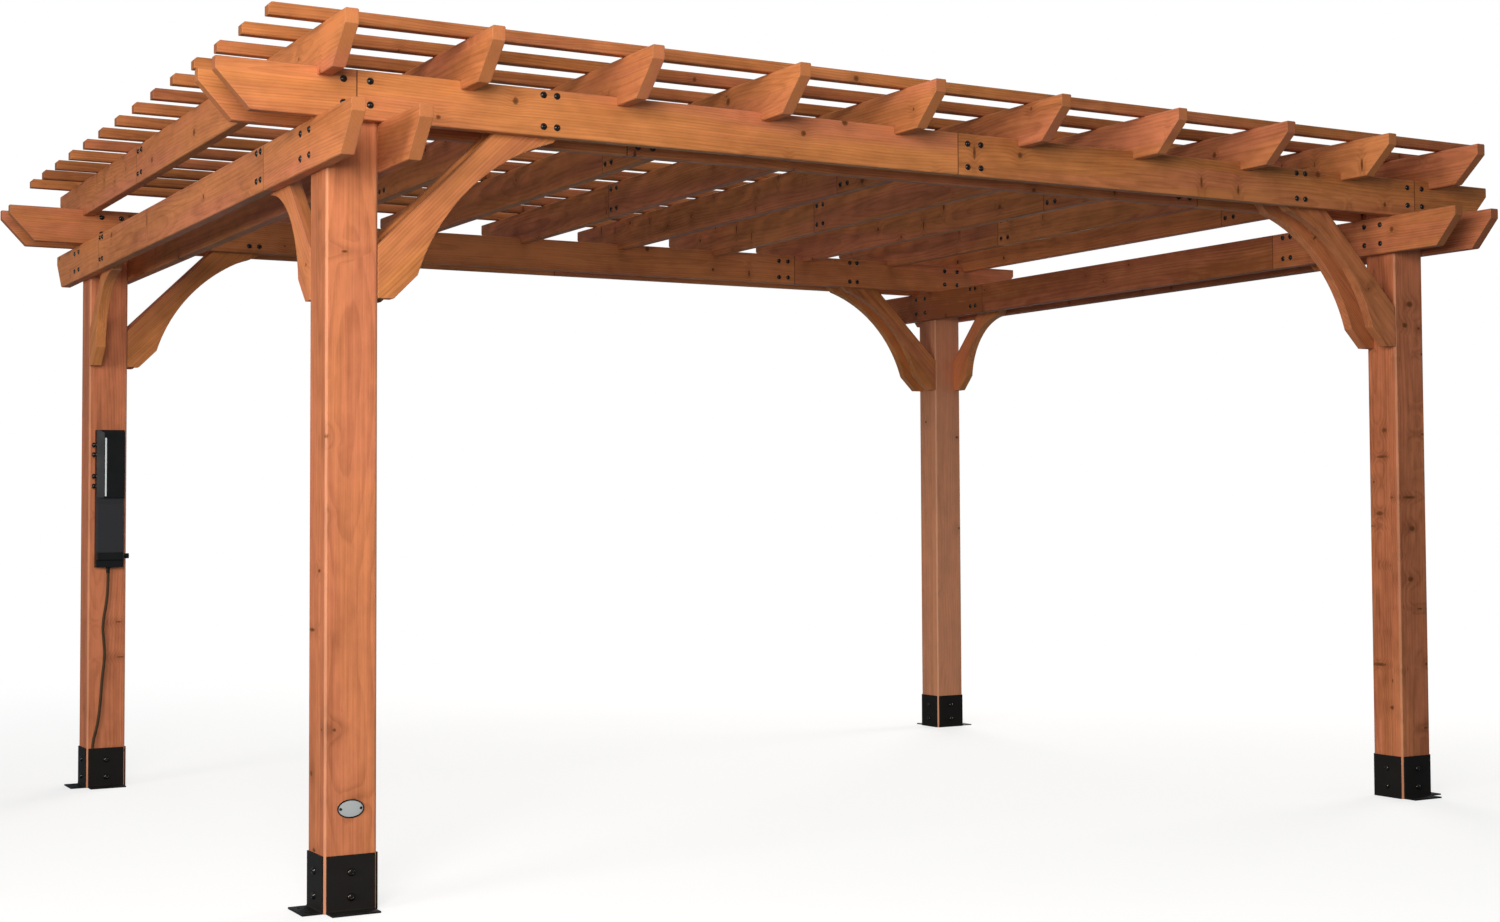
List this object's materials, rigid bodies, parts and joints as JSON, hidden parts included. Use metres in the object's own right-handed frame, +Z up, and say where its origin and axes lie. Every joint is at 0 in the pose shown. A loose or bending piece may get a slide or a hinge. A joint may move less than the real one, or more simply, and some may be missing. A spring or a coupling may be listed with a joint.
{
  "type": "wooden pergola",
  "caption": "Free-standing wooden pergola: square posts on steel foot brackets, paired beams, curved braces, notched rafters under slats, and an outlet box on one post.",
  "frame": {"origin": "on the ground, in the middle of the four posts", "axes": "+X along the long beams, +Y from the front to the back, +Z up"},
  "size_m": [4.876, 3.98, 2.476],
  "materials": {
    "post_wood": "stained cedar, satin, grain along the post",
    "beam_wood": "stained cedar, satin, grain along the board",
    "brace_wood": "stained cedar, satin, grain along the brace",
    "rafter_wood": "stained cedar, satin, grain along the board",
    "slat_wood": "stained cedar, satin, grain along the slat",
    "bracket_steel": "black powder coat",
    "outlet_plastic": "black moulded plastic",
    "cord_rubber": "dark brown cable sheath"
  },
  "bodies": {
    "root": {"cord_gland": "outlet_plastic", "foot_brackets_back_left": "bracket_steel", "foot_brackets_back_right": "bracket_steel", "foot_brackets_front_left": "bracket_steel", "foot_brackets_front_right": "bracket_steel", "long_beam_back_inner": "beam_wood", "long_beam_back_outer": "beam_wood", "long_beam_front_inner": "beam_wood", "long_beam_front_outer": "beam_wood", "long_brace_back_left": "brace_wood", "long_brace_back_right": "brace_wood", "long_brace_front_left": "brace_wood", "long_brace_front_right": "brace_wood", "outlet_cover": "outlet_plastic", "outlet_housing": "outlet_plastic", "outlet_tray": "outlet_plastic", "post_back_left": "post_wood", "post_back_right": "post_wood", "post_front_left": "post_wood", "post_front_right": "post_wood", "power_cord": "cord_rubber", "rafter_01": "rafter_wood", "rafter_02": "rafter_wood", "rafter_03": "rafter_wood", "rafter_04": "rafter_wood", "rafter_05": "rafter_wood", "rafter_06": "rafter_wood", "rafter_07": "rafter_wood", "rafter_08": "rafter_wood", "rafter_09": "rafter_wood", "rafter_10": "rafter_wood", "short_beam_left_inner": "beam_wood", "short_beam_left_outer": "beam_wood", "short_beam_right_inner": "beam_wood", "short_beam_right_outer": "beam_wood", "short_brace_back_left": "brace_wood", "short_brace_back_right": "brace_wood", "short_brace_front_left": "brace_wood", "short_brace_front_right": "brace_wood", "slat_01": "slat_wood", "slat_02": "slat_wood", "slat_03": "slat_wood", "slat_04": "slat_wood", "slat_05": "slat_wood", "slat_06": "slat_wood", "slat_07": "slat_wood", "slat_08": "slat_wood", "slat_09": "slat_wood", "slat_10": "slat_wood", "slat_11": "slat_wood", "slat_12": "slat_wood", "slat_13": "slat_wood", "slat_14": "slat_wood"}
  },
  "joints": []
}
